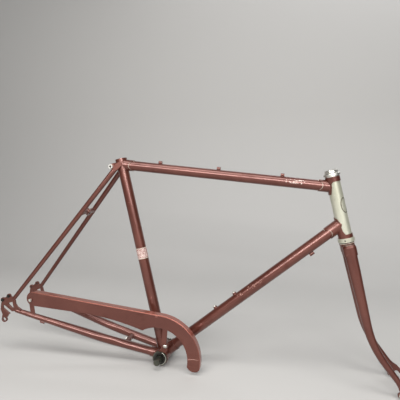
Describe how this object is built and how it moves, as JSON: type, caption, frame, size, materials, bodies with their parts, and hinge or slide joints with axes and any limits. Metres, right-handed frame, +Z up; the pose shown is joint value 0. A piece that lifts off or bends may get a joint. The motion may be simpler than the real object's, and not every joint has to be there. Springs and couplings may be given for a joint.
{
  "type": "bicycle frame",
  "caption": "Lugged steel touring bicycle frame with fork, headset, bottom bracket axle and a bolted half chainguard.",
  "frame": {"origin": "middle of the bottom bracket axis, midway between the shell's two faces", "axes": "+X forward, +Y to the rider's left, +Z up, with the top tube level"},
  "size_m": [1.0716, 0.1356, 0.5574],
  "materials": {
    "frame_paint": "semi-gloss metallic enamel, worn",
    "cream_paint": "semi-gloss enamel",
    "chrome": "bright plating, lightly pitted",
    "bare_steel": "bare ground steel",
    "dark_steel": "blackened steel"
  },
  "bodies": {
    "frame": {"bottle_boss_screws": "chrome", "bottle_bosses": "frame_paint", "bottom_bracket_lockring": "bare_steel", "bottom_bracket_shell": "frame_paint", "brake_bridge": "frame_paint", "chainguard": "frame_paint", "chainstay_bridge": "frame_paint", "chainstay_cable_stop": "frame_paint", "down_tube": "frame_paint", "down_tube_cable_stop": "frame_paint", "guard_front_arm": "frame_paint", "guard_front_nut": "chrome", "guard_front_screw": "chrome", "guard_front_strap": "frame_paint", "guard_rear_nut": "chrome", "guard_rear_screw": "chrome", "guard_rear_strap": "frame_paint", "guard_rear_washer": "frame_paint", "head_tube": "cream_paint", "left_adjustable_cup": "bare_steel", "left_chainstay": "frame_paint", "left_rear_dropout": "frame_paint", "left_seatstay": "frame_paint", "left_seatstay_cap": "frame_paint", "lower_head_cup": "cream_paint", "lower_head_lug": "frame_paint", "mudguard_screw": "chrome", "rear_eyelet_screws": "dark_steel", "right_chainstay": "frame_paint", "right_fixed_cup": "bare_steel", "right_rear_dropout": "frame_paint", "right_seatstay": "frame_paint", "right_seatstay_cap": "frame_paint", "seat_binder_bolt": "chrome", "seat_binder_nut": "chrome", "seat_lug": "frame_paint", "seat_tube": "frame_paint", "top_tube": "frame_paint", "top_tube_cable_guides": "frame_paint", "upper_head_lug": "frame_paint", "upper_head_race": "chrome"},
    "fork": {"steerer": "bare_steel", "fork_crown": "frame_paint", "right_fork_blade": "frame_paint", "left_fork_blade": "frame_paint", "right_fork_end": "frame_paint", "left_fork_end": "frame_paint", "crown_race": "frame_paint", "adjustable_top_cup": "chrome", "headset_washer": "chrome", "headset_locknut": "chrome", "fork_eyelet_screws": "chrome"},
    "crank_axle": {"bottom_bracket_axle": "bare_steel"},
    "bracket_balls": {"right_bracket_balls": "bare_steel", "left_bracket_balls": "bare_steel"},
    "headset_balls": {"upper_headset_balls": "bare_steel", "lower_headset_balls": "bare_steel"}
  },
  "joints": [
    {"name": "steering", "type": "hinge", "parent": "frame", "child": "fork", "pos_m": [0.42756, 0, 0.36075], "axis": [-0.3256, 0, 0.9455], "continuous": true},
    {"name": "axle_spin", "type": "hinge", "parent": "frame", "child": "crank_axle", "pos_m": [0, 0, 0], "axis": [0, 1, 0], "continuous": true},
    {"name": "bracket_ball_roll", "type": "hinge", "parent": "frame", "child": "bracket_balls", "pos_m": [0, 0, 0], "axis": [0, 1, 0], "continuous": true},
    {"name": "headset_ball_roll", "type": "hinge", "parent": "frame", "child": "headset_balls", "pos_m": [0.42756, 0, 0.36075], "axis": [-0.3256, 0, 0.9455], "continuous": true}
  ],
  "couplings": [
    {"joint": "bracket_ball_roll", "follows": "axle_spin", "ratio": 0.3699},
    {"joint": "headset_ball_roll", "follows": "steering", "ratio": 0.5}
  ]
}
